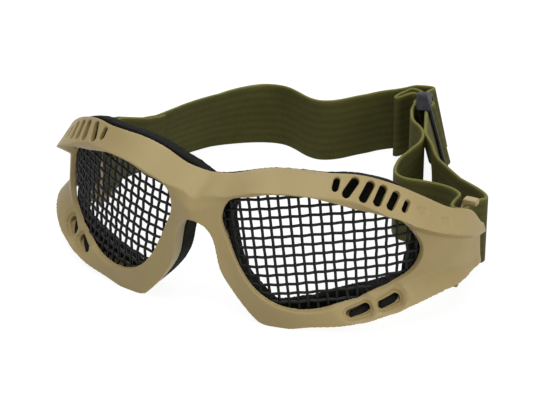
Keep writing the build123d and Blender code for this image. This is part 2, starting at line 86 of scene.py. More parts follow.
# %% Tubes and pieces
def tube_faces(rings, sides):
    """The wall of a tube as quads between neighbouring rings, and its two ends as one face each."""
    ring = np.arange(rings - 1)[:, None]
    side = np.arange(sides)[None, :]
    beside = (side + 1) % sides
    corners = [ring * sides + side, ring * sides + beside]
    corners += [(ring + 1) * sides + beside, (ring + 1) * sides + side]
    wall = np.stack(corners, axis=-1).reshape(-1, 4).tolist()
    ends = [list(range(sides))[::-1], list(range((rings - 1) * sides, rings * sides))]
    return wall + ends


def new_piece(name, points, faces):
    """A smooth-shaded mesh object at the origin; its place is in its points."""
    mesh = bpy.data.meshes.new(name)
    mesh.from_pydata(points.tolist(), [], faces)
    mesh.shade_smooth()
    piece = bpy.data.objects.new(name, mesh)
    scene.collection.objects.link(piece)
    return piece


def face_outwards(piece):
    """Turns every face of a closed piece outwards."""
    work = bmesh.new()
    work.from_mesh(piece.data)
    bmesh.ops.recalc_face_normals(work, faces=work.faces)
    work.to_mesh(piece.data)
    work.free()


# %% [markdown]
# A finish is a Principled shader whose colour, roughness and bump come from node textures. The
# small helpers below add one texture each, so that every finish reads as a short recipe.


# %% Finishes
def new_finish(name, roughness, specular, sheen=0.0):
    """A material with a Principled shader; the plain values are set on its own sockets."""
    material = bpy.data.materials.new(name)
    material.use_nodes = True
    shader = material.node_tree.nodes["Principled BSDF"]
    shader.inputs["Roughness"].default_value = roughness
    shader.inputs["Specular IOR Level"].default_value = specular
    shader.inputs["Sheen Weight"].default_value = sheen
    shader.inputs["Sheen Roughness"].default_value = 0.4
    return material, shader


def node(material, kind, **sockets):
    """Adds a node and sets or links its sockets by name."""
    made = material.node_tree.nodes.new(kind)
    for key, value in sockets.items():
        connect(material, value, made.inputs[key])
    return made


def connect(material, value, socket):
    """Links an output to the socket, or writes a plain value into it."""
    if isinstance(value, bpy.types.NodeSocket):
        material.node_tree.links.new(value, socket)
    else:
        socket.default_value = value


def place(material, source="Object"):
    """The coordinates that a texture reads: the object's own or its UV map."""
    return node(material, "ShaderNodeTexCoord").outputs[source]


def noise(material, vector, scale, detail):
    """Cloudy noise from 0 to 1, scale blotches to the metre."""
    made = node(material, "ShaderNodeTexNoise", Vector=vector, Scale=scale, Detail=detail)
    return made.outputs["Fac"]


def maths(material, operation, a, b=0.0, c=0.0):
    """One step of arithmetic on values or outputs."""
    made = material.node_tree.nodes.new("ShaderNodeMath")
    made.operation = operation
    for value, socket in zip((a, b, c), made.inputs):
        connect(material, value, socket)
    return made.outputs[0]


def colours(material, factor, stops):
    """A colour ramp: stops are (place, colour) pairs."""
    made = node(material, "ShaderNodeValToRGB", Fac=factor)
    ramp = made.color_ramp
    for (spot, colour), element in zip(stops[:2], ramp.elements):
        element.position = spot
        element.color = (*colour, 1)
    for spot, colour in stops[2:]:
        ramp.elements.new(spot).color = (*colour, 1)
    return made.outputs["Color"]


def bump(material, shader, height, depth, strength):
    """Turns a height from 0 to 1 into relief of the given depth in metres."""
    made = node(material, "ShaderNodeBump", Height=height, Strength=strength, Distance=depth)
    material.node_tree.links.new(made.outputs["Normal"], shader.inputs["Normal"])


def to_linear(red, green, blue):
    """The linear value of a screen colour given from 0 to 255."""
    return tuple((value / 255) ** 2.2 for value in (red, green, blue))


# %% [markdown]
# The frame is injection moulded in tan nylon. The mould is finely spark-eroded, which leaves a
# matt grain that scatters the light, and the tone wanders a little where the melt has flowed.
# Its edges are rubbed a touch paler, which an edge value on each point carries.

# %% Tan moulded plastic
tan, tan_shader = new_finish("tan_moulding", 0.5, 0.4)
flow = noise(tan, place(tan), 45, 2.0)
grain = noise(tan, place(tan), 2600, 2.0)
rubbed = node(tan, "ShaderNodeAttribute")
rubbed.attribute_name = "edge"
tone = maths(tan, "MULTIPLY_ADD", rubbed.outputs["Fac"], 0.35, maths(tan, "MULTIPLY", flow, 0.6))
tan_stops = [
    (0.1, to_linear(158, 139, 93)),
    (0.55, to_linear(173, 153, 106)),
    (0.9, to_linear(190, 172, 126)),
]
connect(tan, colours(tan, tone, tan_stops), tan_shader.inputs["Base Color"])
connect(tan, maths(tan, "MULTIPLY_ADD", grain, 0.14, 0.42), tan_shader.inputs["Roughness"])
bump(tan, tan_shader, grain, 0.00006, 0.6)

# %% [markdown]
# The wire is steel, dipped in black paint after weaving. Its satin coat is uneven, so one noise
# varies the tone, the gloss and a slight relief together.

# %% Painted wire
wire_black, wire_shader = new_finish("black_painted_wire", 0.5, 0.22)
paint = noise(wire_black, place(wire_black), 900, 3.0)
wire_stops = [(0.3, (0.002, 0.002, 0.002)), (0.75, (0.009, 0.009, 0.009))]
connect(wire_black, colours(wire_black, paint, wire_stops), wire_shader.inputs["Base Color"])
connect(wire_black, maths(wire_black, "MULTIPLY_ADD", paint, 0.3, 0.34), wire_shader.inputs["Roughness"])
bump(wire_black, wire_shader, paint, 0.00008, 0.5)

# %% [markdown]
# The gasket is closed-cell foam. Cut faces of such foam are a carpet of half-open bubbles of about
# half a millimetre: Voronoi cells give the bubbles, and noise dulls their walls.

# %% Black foam
foam_black, foam_shader = new_finish("black_foam", 0.95, 0.2)
cells = node(foam_black, "ShaderNodeTexVoronoi", Vector=place(foam_black), Scale=1900.0)
cell_depth = maths(foam_black, "MULTIPLY", cells.outputs["Distance"], 1.6)
cell_depth = maths(foam_black, "MINIMUM", cell_depth, 1.0)
foam_blotch = noise(foam_black, place(foam_black), 260, 4.0)
foam_height = maths(foam_black, "MULTIPLY_ADD", foam_blotch, 0.5, cell_depth)
foam_stops = [(0.2, (0.018, 0.018, 0.015)), (1.0, (0.006, 0.006, 0.005))]
connect(foam_black, colours(foam_black, cell_depth, foam_stops), foam_shader.inputs["Base Color"])
bump(foam_black, foam_shader, foam_height, 0.0002, 0.7)

# %% [markdown]
# Elastic webbing is woven with rubber cords along its length. The cords show as fine ribs, and the
# polyester picks cross them as short steps, so the cloth looks like a tiny brick pattern. The UV
# map holds metres along and across the band, and sines of those give ribs and picks that follow
# every bend. The colour is darker where the weave is low, as painted shade in its grooves. The
# turned edges are packed tighter and are painted paler, as a painted highlight where they catch
# the light.

# %% Olive webbing
olive, olive_shader = new_finish("olive_webbing", 0.85, 0.25, 0.25)
olive_shader.inputs["Sheen Tint"].default_value = (*to_linear(150, 150, 95), 1)
split = node(olive, "ShaderNodeSeparateXYZ", Vector=place(olive, "UV"))
along_strap = split.outputs["X"]
across_strap = split.outputs["Y"]
rib_pitch = 1.15 * MM
pick_pitch = 0.85 * MM
cord_pitch = 3.45 * MM
rib = maths(olive, "SINE", maths(olive, "MULTIPLY", across_strap, 2 * pi / rib_pitch))
brick = maths(olive, "SIGN", rib)
half_step = maths(olive, "MULTIPLY", brick, pi / 2)
pick_turn = maths(olive, "MULTIPLY_ADD", along_strap, 2 * pi / pick_pitch, half_step)
pick = maths(olive, "SINE", pick_turn)
rib_height = maths(olive, "MULTIPLY_ADD", maths(olive, "ABSOLUTE", rib), 0.6, 0.1)
weave = maths(olive, "MULTIPLY_ADD", maths(olive, "MULTIPLY_ADD", pick, 0.5, 0.5), 0.35, rib_height)
fluff = noise(olive, place(olive), 1500, 4.0)
weave = maths(olive, "MULTIPLY_ADD", fluff, 0.25, weave)
# The grooves between the cords are darker in colour too: painted shade in the grooves.
cord_turn = maths(olive, "MULTIPLY", across_strap, pi / cord_pitch)
cord = maths(olive, "ABSOLUTE", maths(olive, "SINE", cord_turn))
weave = maths(olive, "MULTIPLY_ADD", cord, 0.22, weave)
fade = noise(olive, place(olive), 60, 3.0)
# The band's edges are painted paler: a painted highlight where they catch the light.
painted_edge_highlight = node(olive, "ShaderNodeAttribute")
painted_edge_highlight.attribute_name = "painted_edge_highlight"
# The colour darkens where the weave is low, as painted shade, and the edges add a painted highlight.
olive_tone = maths(olive, "MULTIPLY_ADD", fade, 0.25, maths(olive, "MULTIPLY", weave, 0.48))
olive_tone = maths(olive, "MULTIPLY_ADD", painted_edge_highlight.outputs["Fac"], 0.45, olive_tone)
olive_stops = [
    (0.12, to_linear(34, 32, 10)),
    (0.45, to_linear(66, 65, 30)),
    (0.7, to_linear(84, 82, 40)),
    (1.0, to_linear(132, 130, 70)),
]
connect(olive, colours(olive, olive_tone, olive_stops), olive_shader.inputs["Base Color"])
bump(olive, olive_shader, weave, 0.00025, 0.8)

# %% [markdown]
# The sewing thread is a paler olive than the webbing. The slider is charcoal nylon, and its gloss
# wanders where it has been scuffed.

# %% Thread and slider finishes
thread, thread_shader = new_finish("olive_thread", 0.6, 0.4, 0.2)
twist = noise(thread, place(thread), 3000, 2.0)
thread_stops = [(0.3, to_linear(58, 58, 26)), (0.8, to_linear(98, 98, 52))]
connect(thread, colours(thread, twist, thread_stops), thread_shader.inputs["Base Color"])
bump(thread, thread_shader, twist, 0.00005, 0.6)

charcoal, charcoal_shader = new_finish("charcoal_plastic", 0.5, 0.15)
slider_grain = noise(charcoal, place(charcoal), 2200, 3.0)
scuffs = noise(charcoal, place(charcoal), 320, 5.0)
slider_stops = [(0.35, to_linear(20, 20, 21)), (0.7, to_linear(44, 44, 47))]
connect(charcoal, colours(charcoal, scuffs, slider_stops), charcoal_shader.inputs["Base Color"])
connect(charcoal, maths(charcoal, "MULTIPLY_ADD", scuffs, 0.4, 0.25), charcoal_shader.inputs["Roughness"])
bump(charcoal, charcoal_shader, slider_grain, 0.00008, 0.6)

# %% [markdown]
# A moulding has no sharp edges: the mould's own corners are rounded, and a fresh part is tumbled.
# Bevelling a model with so many cuts leaves creases. Instead the CAD surface is wrapped in an even
# skin of small squares (a voxel remesh) and relaxed, which rounds every edge by the same amount.
# The squares have to be fine, or slanting edges show steps, so the skin is thinned out afterwards.


# %% Moulded copies of CAD nodes
def moulded(name, source, voxel, rounds, kept):
    """A closed copy of a CAD node with evenly rounded edges, thinned to a share of its faces."""
    copy = bpy.data.objects.new(name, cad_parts[source].data.copy())
    scene.collection.objects.link(copy)
    work = bmesh.new()
    work.from_mesh(copy.data)
    bmesh.ops.remove_doubles(work, verts=work.verts, dist=1e-6)
    work.to_mesh(copy.data)
    work.free()
    skin = copy.modifiers.new("skin", "REMESH")
    skin.mode = "VOXEL"
    skin.voxel_size = voxel
    skin.adaptivity = 0
    soften = copy.modifiers.new("soften", "SMOOTH")
    soften.factor = 0.5
    soften.iterations = rounds
    if kept < 1:
        thin = copy.modifiers.new("thin", "DECIMATE")
        thin.ratio = kept
    graph = bpy.context.evaluated_depsgraph_get()
    mesh = bpy.data.meshes.new_from_object(copy.evaluated_get(graph))
    copy.modifiers.clear()
    copy.data = mesh
    mesh.name = name
    mesh.materials.clear()
    mesh.shade_smooth()
    print(name, len(mesh.polygons), "faces")
    return copy


def read_points(mesh):
    """All points of a mesh as rows of three."""
    points = np.empty(3 * len(mesh.vertices))
    mesh.vertices.foreach_get("co", points)
    return points.reshape(-1, 3)


def neighbour_means(mesh, points):
    """For each point the mean of the points that an edge joins it to."""
    pairs = np.empty(2 * len(mesh.edges), dtype=int)
    mesh.edges.foreach_get("vertices", pairs)
    first, second = pairs.reshape(-1, 2).T
    total = np.zeros_like(points)
    for axis in range(3):
        total[:, axis] = np.bincount(first, points[second, axis], len(points))
        total[:, axis] += np.bincount(second, points[first, axis], len(points))
    neighbours = np.bincount(first, minlength=len(points)) + np.bincount(second, minlength=len(points))
    return total / neighbours[:, None]


def mark_edges(piece, gain):
    """Writes an attribute named edge: how far each point stands out from its neighbours' mean."""
    mesh = piece.data
    points = read_points(mesh)
    normals = np.empty(3 * len(points))
    mesh.vertices.foreach_get("normal", normals)
    proud = points - neighbour_means(mesh, points)
    value = np.clip((proud * normals.reshape(-1, 3)).sum(axis=1) * gain, 0, 1)
    mesh.attributes.new("edge", "FLOAT", "POINT").data.foreach_set("value", value)


# %% [markdown]
# Fitting moves points of the skin after the remesh, where the photograph shows a form that
# the CAD solid lacks. Each rule takes all the points and gives them back moved. The cheek vents
# are widened, and moved along the cheek and down. The brow's ridge hangs lower over each eye, and
# the opening rises to it. The wall round the nose ends early, because the gasket comes further
# forward there. The hooks of the strap bars stand further out and lower.

# %% Fitting the skin
AXIS_Y = -17.5 * MM


def reshape(piece, rule, relaxed=0):
    """Moves the points of a piece by a rule that takes and gives rows of points. Moved points are
    then relaxed: again and again they go halfway to their neighbours' mean."""
    start = read_points(piece.data)
    points = rule(start)
    moved = np.clip(np.linalg.norm(points - start, axis=1) / (0.2 * MM), 0, 1)[:, None]
    for _ in range(relaxed):
        points = points + 0.5 * moved * (neighbour_means(piece.data, points) - points)
    piece.data.vertices.foreach_set("co", points.ravel())
    piece.data.update()


def round_axis(points):
    """Angle from straight ahead in degrees and distance from the upright axis behind the face."""
    ahead = AXIS_Y - points[:, 1]
    angle = np.degrees(np.arctan2(points[:, 0], ahead))
    return angle, np.hypot(points[:, 0], ahead)


def from_axis(turn, distance, height):
    """The points at a turn in radians, a distance from the axis and a height."""
    return np.stack([distance * np.sin(turn), AXIS_Y - distance * np.cos(turn), height], axis=-1)


# For each vent: angle in degrees, and in mm its distance from the axis, its height and the height
# of the frame's lower edge under it
CHEEK_VENTS = ((48.4, 77.8, 9.6, 4.5), (56.5, 80.6, 12.4, 7.4))
VENT_REACH = 6.5 * MM
VENT_DEPTH = 3 * MM
VENT_SHIFT = 1.5 * MM
VENT_DROP = 1.7 * MM
EDGE_FADE = 4 * MM


def vent_place(sign, angle, distance, height):
    """Middle of a cheek vent, the level direction along the cheek and the way its face looks."""
    turn = np.radians(angle)
    out = np.array((sign * np.sin(turn), -np.cos(turn), 0))
    along = np.array((sign * np.cos(turn), np.sin(turn), 0))
    middle = np.array((0, AXIS_Y, height * MM)) + out * distance * MM
    return middle, along, 0.895 * out + np.array((0, 0, 0.447))


def open_cheek_vents(points):
    """Near each vent a point moves away from the vent's middle by a share of its distance, and
    with the vent along the cheek and down; both fade as e to the minus fourth power, and to
    nothing at the frame's lower edge."""
    moved = points.copy()
    for sign in (1, -1):
        for angle, distance, height, edge in CHEEK_VENTS:
            middle, along, facing = vent_place(sign, angle, distance, height)
            offset = points - middle
            depth = offset @ facing
            flat = offset - depth[:, None] * facing
            fade = np.exp(-((np.linalg.norm(flat, axis=1) / VENT_REACH) ** 4) - (depth / VENT_DEPTH) ** 4)
            fade *= np.clip((points[:, 2] - edge * MM) / EDGE_FADE, 0, 1)
            moved += fade[:, None] * (0.3 * flat + VENT_SHIFT * along - np.array((0, 0, VENT_DROP)))
    return moved


# At these angles: the heights in mm of the brow's ridge and of its foot at the opening's top
RIDGE_ANGLES = (0, 10, 20, 28, 36, 45, 52)
RIDGE_HEIGHTS = (48.7, 52.8, 57.0, 57.0, 56.0, 53.6, 50.0)
FOOT_HEIGHTS = (45.0, 48.3, 53.8, 53.8, 52.4, 49.9, 47.1)
# Level 0 is the foot and level 1 the ridge; the moves upwards and outwards are in mm
RISE_LEVELS = (-2.2, -0.25, 0, 1, 1.9)
RISES = (0, 1.5, 1.2, -1.8, -0.3)
OUT_LEVELS = (-0.25, 0.3, 1, 1.9)
OUTS = (0, 0.4, 1.2, 0)


def lower_ridge(points):
    """Over each eye the brow's ridge hangs down towards the top of the opening, which rises to it.
    The move is a line through knots of level, and fades with the angle and the wall's depth."""
    angle, distance = round_axis(points)
    angle = np.abs(angle)
    ridge, foot = (np.interp(angle, RIDGE_ANGLES, heights) for heights in (RIDGE_HEIGHTS, FOOT_HEIGHTS))
    level = (points[:, 2] / MM - foot) / (ridge - foot)
    inside = np.interp(angle, (0, 10, 36, 52), (54, 54, 59, 65)) * MM
    share = np.interp(angle, (4, 11, 38, 48), (0, 1, 1, 0))
    share *= np.clip((distance - inside) / (9 * MM), 0, 1)
    rise = np.interp(level, RISE_LEVELS, RISES)
    out = np.interp(level, OUT_LEVELS, OUTS) * share * MM
    turn = np.arctan2(points[:, 0], AXIS_Y - points[:, 1])
    return points + np.stack([out * np.sin(turn), -out * np.cos(turn), rise * share * MM], axis=-1)


NOSE_ANGLE = 30
SEAM_HEIGHT = 50 * MM
SEAM_SHIFT = 5 * MM
HALF_FOAM = 2 * MM
NOSE_SIDE = 30 * MM
NOSE_TOP = 46 * MM
NOSE_FADE = 4 * MM


def seam_terms(angle, height):
    """Products of the first three powers of the angle and of the height, both as shares."""
    turn, level = np.abs(angle) / NOSE_ANGLE, height / SEAM_HEIGHT
    return np.stack([turn**i * level**j for i in range(3) for j in range(3)], axis=-1)


def gasket_middle():
    """Weights of the seam's terms that give the gasket's middle surface near the nose, fitted by
    least squares to the distances of its points from the axis."""
    points = read_points(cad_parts["foam_gasket"].data)
    angle, distance = round_axis(points)
    near = np.abs(angle) < NOSE_ANGLE
    terms = seam_terms(angle[near], points[near, 2])
    weights, *_ = np.linalg.lstsq(terms, distance[near], rcond=None)
    return weights


middle_weights = gasket_middle()


def draw_in_nose_wall(points):
    """Round the nose the seam between wall and gasket moves 5 mm forward; the move fades to
    nothing over 7 mm of the wall and over 3.6 mm of the gasket."""
    angle, distance = round_axis(points)
    behind = seam_terms(angle, points[:, 2]) @ middle_weights + HALF_FOAM - distance
    share = np.clip(np.minimum(1 + behind / (7 * MM), 1 - behind / (3.6 * MM)), 0, 1)
    beside = np.clip((NOSE_SIDE - np.abs(points[:, 0])) / NOSE_FADE, 0, 1)
    under = np.clip((NOSE_TOP - points[:, 2]) / NOSE_FADE, 0, 1)
    moved = points.copy()
    moved[:, 1] -= SEAM_SHIFT * share * beside * under * (np.abs(angle) < NOSE_ANGLE)
    return moved


BAR_REACH = 84.5 * MM
HOOK_INNER = 77.4 * MM
HOOK_SHIFT = 0.8 * MM
# Heights in mm of knots on the hook and on the bar's top, before and after
HOOK_HEIGHTS = (33.2, 34.6, 37.4)
HOOK_LOWERED = (33.2, 33.6, 35.9)
TOP_HEIGHTS = (29.0, 37.4)
TOP_LOWERED = (29.0, 30.4)


def set_hooks(points):
    """The hooks on the strap bars move outwards and down, and the bar's own top sinks under them."""
    x, y, z = points.T
    at_bar = (y > AXIS_Y - 0.5 * MM) & (np.abs(x) < BAR_REACH)
    hook = at_bar & (np.abs(x) > HOOK_INNER) & (z > HOOK_HEIGHTS[0] * MM)
    top = at_bar & (np.abs(x) <= HOOK_INNER) & (z > TOP_HEIGHTS[0] * MM)
    moved = points.copy()
    moved[hook, 0] += np.sign(x[hook]) * HOOK_SHIFT
    moved[hook, 2] = np.interp(z[hook] / MM, HOOK_HEIGHTS, HOOK_LOWERED) * MM
    moved[top, 2] = np.interp(z[top] / MM, TOP_HEIGHTS, TOP_LOWERED) * MM
    return moved


# %% [markdown]
# The frame's skin goes through the four rules in turn. The brow's move is the largest, so its
# points are relaxed afterwards. Last, the edge value that rubs the tan paler is measured.

# %% Frame
frame_piece = moulded("frame_moulding", "frame", voxel=0.3 * MM, rounds=9, kept=0.29)
reshape(frame_piece, open_cheek_vents)
reshape(frame_piece, lower_ridge, relaxed=8)
reshape(frame_piece, draw_in_nose_wall)
reshape(frame_piece, set_hooks)
mark_edges(frame_piece, gain=9000)
frame_piece.data.materials.append(tan)
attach(frame_piece, "goggles")
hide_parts("frame")

# %% [markdown]
# Each lens is a piece of square-woven cloth of crimped wire, pressed to the curve of the frame.
# The CAD sheet gives that curve: its distance from an upright axis behind the face is fitted, by
# least squares, with powers of the angle and of the height. The wires then run on the fitted
# curve, and each one weaves over and under the wires that it crosses.

# %% The curve of the lens
MIDDLE_ANGLE = 38.0
MIDDLE_HEIGHT = 30.0 * MM
HALF_HEIGHT = 25 * MM


def powers(angle, height):
    """All products of the first five powers of the angle and the first four of the height, both
    counted from the middle of the lens."""
    turn = (angle - MIDDLE_ANGLE) / MIDDLE_ANGLE
    rise = (height - MIDDLE_HEIGHT) / HALF_HEIGHT
    return np.stack([turn**i * rise**j for i in range(5) for j in range(4)], axis=-1)


def lens_curve(source):
    """Weights of the powers that give the distance from the axis, fitted to a lens's CAD sheet."""
    points = read_points(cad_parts[source].data)
    angle, distance = round_axis(points)
    terms = powers(angle, points[:, 2])
    weights, *_ = np.linalg.lstsq(terms, distance, rcond=None)
    miss = distance - terms @ weights
    print(source, "fit misses the sheet's faces by", round(miss.std() / MM, 2), "mm")
    return weights


curve = lens_curve("lens_mesh_right")


def on_curve(angle, height, inwards):
    """The point of the lens's curve at this angle and height, moved towards the axis."""
    return from_axis(np.radians(angle), powers(angle, height) @ curve - inwards, height)


# %% [markdown]
# The cloth isn't square to the head. Beside the nose its rows climb outwards by about nine
# degrees, and they level out and turn the other way towards the temple, as a flat sheet does when
# it is wrapped round a cone. So a place in the cloth (along a row, up a column) is turned into an
# angle and a height by a turn that falls steadily with the angle.

# %% From the cloth to the curve
MESH_PITCH = 3.77 * MM
WIRE = 1.12 * MM
CRIMP = 0.2 * MM
LENS_DEPTH = 0.5 * MM
CLOTH_REACH = 60 * MM
CLOTH_DISTANCE = 72 * MM


def cloth_place(along, up):
    """Angle and height of a place in the cloth: the row through the middle is followed by adding
    up small steps, and the column leaves it at a right angle."""
    steps = np.linspace(-CLOTH_REACH, CLOTH_REACH, 241)
    angle = MIDDLE_ANGLE + np.degrees(steps / CLOTH_DISTANCE)
    lean = np.radians(9.5 - 0.2 * (angle - 12))
    rise = np.cumsum(np.sin(lean)) * (steps[1] - steps[0])
    rise -= np.interp(0, steps, rise)
    across = np.cumsum(np.cos(lean)) * (steps[1] - steps[0])
    across -= np.interp(0, steps, across)
    turned = np.interp(along, steps, lean)
    sideways = np.interp(along, steps, across) - up * np.sin(turned)
    height = MIDDLE_HEIGHT + np.interp(along, steps, rise) + up * np.cos(turned)
    return MIDDLE_ANGLE + np.degrees(sideways / CLOTH_DISTANCE), height


# %% [markdown]
# The cloth is cut a little larger than the eye opening. The opening's outline is a ring of places,
# as shares of its length and height, seen square from the axis.

# %% The outline of the opening
opening_shares = np.array([
    (-0.379, 0.490), (-0.447, 0.450), (-0.487, 0.345), (-0.456, 0.140), (-0.375, -0.157),
    (-0.280, -0.351), (-0.178, -0.440), (-0.060, -0.458), (0.060, -0.412), (0.191, -0.343),
    (0.357, -0.257), (0.481, -0.157), (0.513, -0.036), (0.476, 0.100), (0.403, 0.228),
    (0.227, 0.350), (0.077, 0.430), (-0.110, 0.490), (-0.249, 0.510),
])
OPENING = (79.2 * MM, 47.0 * MM)
OPENING_DISTANCE = 70 * MM
LENS_BORDER = 2.4 * MM


def in_opening(points):
    """Whether points, seen from the axis, lie within the opening grown by the border."""
    direction = np.radians(MIDDLE_ANGLE)
    x, y, z = points.T
    ahead = x * np.sin(direction) + (AXIS_Y - y) * np.cos(direction)
    side = (x * np.cos(direction) - (AXIS_Y - y) * np.sin(direction)) * OPENING_DISTANCE / ahead
    up = (z - MIDDLE_HEIGHT) * OPENING_DISTANCE / ahead
    rim = opening_shares * OPENING
    rim_turn = np.arctan2(rim[:, 1], rim[:, 0])
    order = np.argsort(rim_turn)
    reach = np.hypot(*rim.T)[order] + LENS_BORDER
    allowed = np.interp(np.arctan2(up, side), rim_turn[order], reach, period=2 * pi)
    return np.hypot(side, up) < allowed


# %% [markdown]
# A wire is a round profile carried along a path. At each point of the path the profile stands
# square to the path's direction, found from the neighbouring points.


# %% Wires
# A direction that no wire runs in, half the number of cells that a wire may cross, and the points
# of its path in each cell
SLANT = (0.31, 0.22, 0.93)
HALF_CELLS = 16
CELL_POINTS = 8


def tube(path, radius, sides):
    """Rings of points round a path: the centre, plus the radius times the cosine and the sine of
    the turn along two directions that are square to the path."""
    ahead = np.gradient(path, axis=0)
    ahead /= np.linalg.norm(ahead, axis=1, keepdims=True)
    side = np.cross(ahead, SLANT)
    side /= np.linalg.norm(side, axis=1, keepdims=True)
    over = np.cross(side, ahead)
    turn = np.linspace(0, 2 * pi, sides, endpoint=False)[None, :, None]
    rings = path[:, None] + radius * (np.cos(turn) * side[:, None] + np.sin(turn) * over[:, None])
    return rings.reshape(-1, 3)


def cloth_wire(number, crosswise):
    """The path of one wire: its place in the cloth with a slight sway, plus a wave of the crimp's
    height, kept where it lies in the opening. A wire that only touches a corner gives nothing."""
    reach = HALF_CELLS * MESH_PITCH
    span = np.linspace(-reach, reach, 2 * HALF_CELLS * CELL_POINTS + 1)
    phase = pi * (span / MESH_PITCH + number)
    sway = 0.05 * MM * np.sin(phase * 0.5 + 1.7 * number) + 0.10 * MM * np.sin(2.3 * number)
    fixed = np.full_like(span, number * MESH_PITCH) + sway
    along, up = (fixed, span) if crosswise else (span, fixed)
    sign = -1 if crosswise else 1
    angle, height = cloth_place(along, up)
    path = on_curve(angle, height, LENS_DEPTH + sign * CRIMP * np.cos(phase))
    inside = np.flatnonzero(in_opening(path) & (angle > 3) & (angle < 80))
    return path[inside[0] : inside[-1] + 1] if len(inside) > 6 else None


def join_tubes(paths, radius, sides=7):
    """All tubes as one list of points and one list of faces."""
    points, faces, start = [], [], 0
    for path in paths:
        points.append(tube(path, radius, sides))
        faces += [[corner + start for corner in face] for face in tube_faces(len(path), sides)]
        start += len(points[-1])
    return np.concatenate(points), faces


wires = [cloth_wire(number, crosswise) for crosswise in (False, True) for number in range(-14, 15)]
wires = [wire for wire in wires if wire is not None]
print("wires in a lens:", len(wires))

# %% [markdown]
# The left lens is the right one mirrored, wire by wire.

# %% Lenses
for side, sign in (("right", 1), ("left", -1)):
    mirrored = [wire * (sign, 1, 1) for wire in wires]
    lens = new_piece(f"wire_cloth_{side}", *join_tubes(mirrored, WIRE / 2))
    face_outwards(lens)
    lens.data.materials.append(wire_black)
    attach(lens, "goggles")
    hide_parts(f"lens_mesh_{side}")

# %% [markdown]
# The gasket is cut from foam sheet and glued on, so its corners are soft but its faces are flat.
# It is made like the frame's skin, with coarser squares, and reshaped the same way: the seam at
# the nose follows the frame's wall, each ring gets the width that the photograph shows, the ends
# reach back round the temples, and the right side's top is lower. The photograph's cheek vents are
# black inside, partly from foam and partly from shade, so four separate pads of the same foam lie
# behind them, in the gasket's mesh: in part they are painted shade.

# %% Gasket
END_ANGLE = 66
END_SPAN = 11
END_REACH = 8.0
END_LOW = 12 * MM


def reach_back(points):
    """Behind 66 degrees the gasket's ends are drawn back round the temples by up to 8 degrees, and
    their heights shrink towards 12 mm."""
    angle, distance = round_axis(points)
    share = np.clip((np.abs(angle) - END_ANGLE) / END_SPAN, 0, 1)
    turn = np.radians(angle + np.sign(angle) * END_REACH * share)
    height = END_LOW + (points[:, 2] - END_LOW) * (1 - 0.27 * share)
    return from_axis(turn, distance - 0.6 * MM * share, height)


# The middle of the eye, and the inner edge's shift in mm by direction: 0 is towards the temple, 90
# upwards and 180 towards the nose
EYE_ANGLE = 40
EYE_HEIGHT = 30 * MM
EYE_DISTANCE = 66 * MM
SECTORS = 36
RING_TURNS = (-180, -150, -130, -120, -90, -66, -45, -30, -12, 0, 15, 120, 150, 165, 180)
RING_SHIFTS = (-4.0, -3.0, -1.0, 0.3, 1.5, 4.5, 6.5, 6.0, 2.0, -0.5, -1.0, -2.0, -2.5, -3.5, -4.0)


def widen_ring(points):
    """Each eye's ring is seen as a flat outline round the eye's middle. Its inner edge moves
    towards the middle by a shift that depends on the direction; its outer edge stays."""
    angle, distance = round_axis(points)
    sign = np.where(angle < 0, -1, 1)
    side = np.radians(np.abs(angle) - EYE_ANGLE) * EYE_DISTANCE
    up = points[:, 2] - EYE_HEIGHT
    reach, direction = np.hypot(side, up), np.degrees(np.arctan2(up, side))
    sector = ((direction + 180) // 10).astype(int) % SECTORS
    inner, outer = np.full(SECTORS, 1.0), np.zeros(SECTORS)
    np.minimum.at(inner, sector, reach)
    np.maximum.at(outer, sector, reach)
    middles = np.arange(SECTORS) * 10 - 175
    inner, outer = (np.interp(direction, middles, edge, period=360) for edge in (inner, outer))
    share = np.clip((outer - reach) / (outer - inner), 0, 1)
    stretch = 1 - np.interp(direction, RING_TURNS, RING_SHIFTS) * MM * share / reach
    turn = sign * (np.radians(EYE_ANGLE) + side * stretch / EYE_DISTANCE)
    return from_axis(turn, distance, EYE_HEIGHT + up * stretch)


RIGHT_DROP = 2.3 * MM


def lower_right_top(points):
    """Behind the right brow the foam was glued lower than behind the left one."""
    angle, _ = round_axis(points)
    low = np.interp(angle, (0, 20, 48), (44, 49, 51)) * MM
    share = np.interp(angle, (-7, 0, 44, 62), (0, 1, 1, 0))
    share *= np.clip((points[:, 2] - low) / (5 * MM), 0, 1)
    moved = points.copy()
    moved[:, 2] -= RIGHT_DROP * share
    return moved


# A pad's rounding and half the length between its round ends, in mm, its place from the vent's,
# and how far its rear and front lie behind the frame's face
PAD_ROUND = 1.8
PAD_HALF = 2.9
PAD_SHIFT = 3.1 * MM
PAD_DROP = 1.9 * MM
PAD_DEPTHS = (3.8 * MM, 1.7 * MM)


def vent_foam_and_shade():
    """Four flat pads of foam that show black in the cheek vents, partly as painted shade for their
    dark inside: each is a bar with round ends, which slants a little upwards along the cheek."""
    turn = np.linspace(0, 2 * pi, 40, endpoint=False)
    along_bar = PAD_ROUND * np.cos(turn) + PAD_HALF * np.sign(np.cos(turn))
    across_bar = PAD_ROUND * np.sin(turn)
    points, faces = [], []
    for sign in (1, -1):
        for angle, distance, height, _ in CHEEK_VENTS:
            middle, along, facing = vent_place(sign, angle, distance, height)
            middle = middle + PAD_SHIFT * along - np.array((0, 0, PAD_DROP))
            rise = sign * np.cross(facing, along)
            run = along + 0.25 * rise
            run /= np.linalg.norm(run)
            flat = middle + MM * (np.outer(along_bar, run) + np.outer(across_bar, rise))
            start = len(points) * len(turn)
            points += [flat - depth * facing for depth in PAD_DEPTHS]
            faces += [[corner + start for corner in face] for face in tube_faces(2, len(turn))]
    pads = new_piece("vent_foam_and_shade", np.concatenate(points), faces)
    face_outwards(pads)
    return pads


def add_mesh(piece, other):
    """Adds the other piece's mesh to this one's, and removes the other piece."""
    work = bmesh.new()
    work.from_mesh(piece.data)
    work.from_mesh(other.data)
    work.to_mesh(piece.data)
    work.free()
    bpy.data.objects.remove(other)


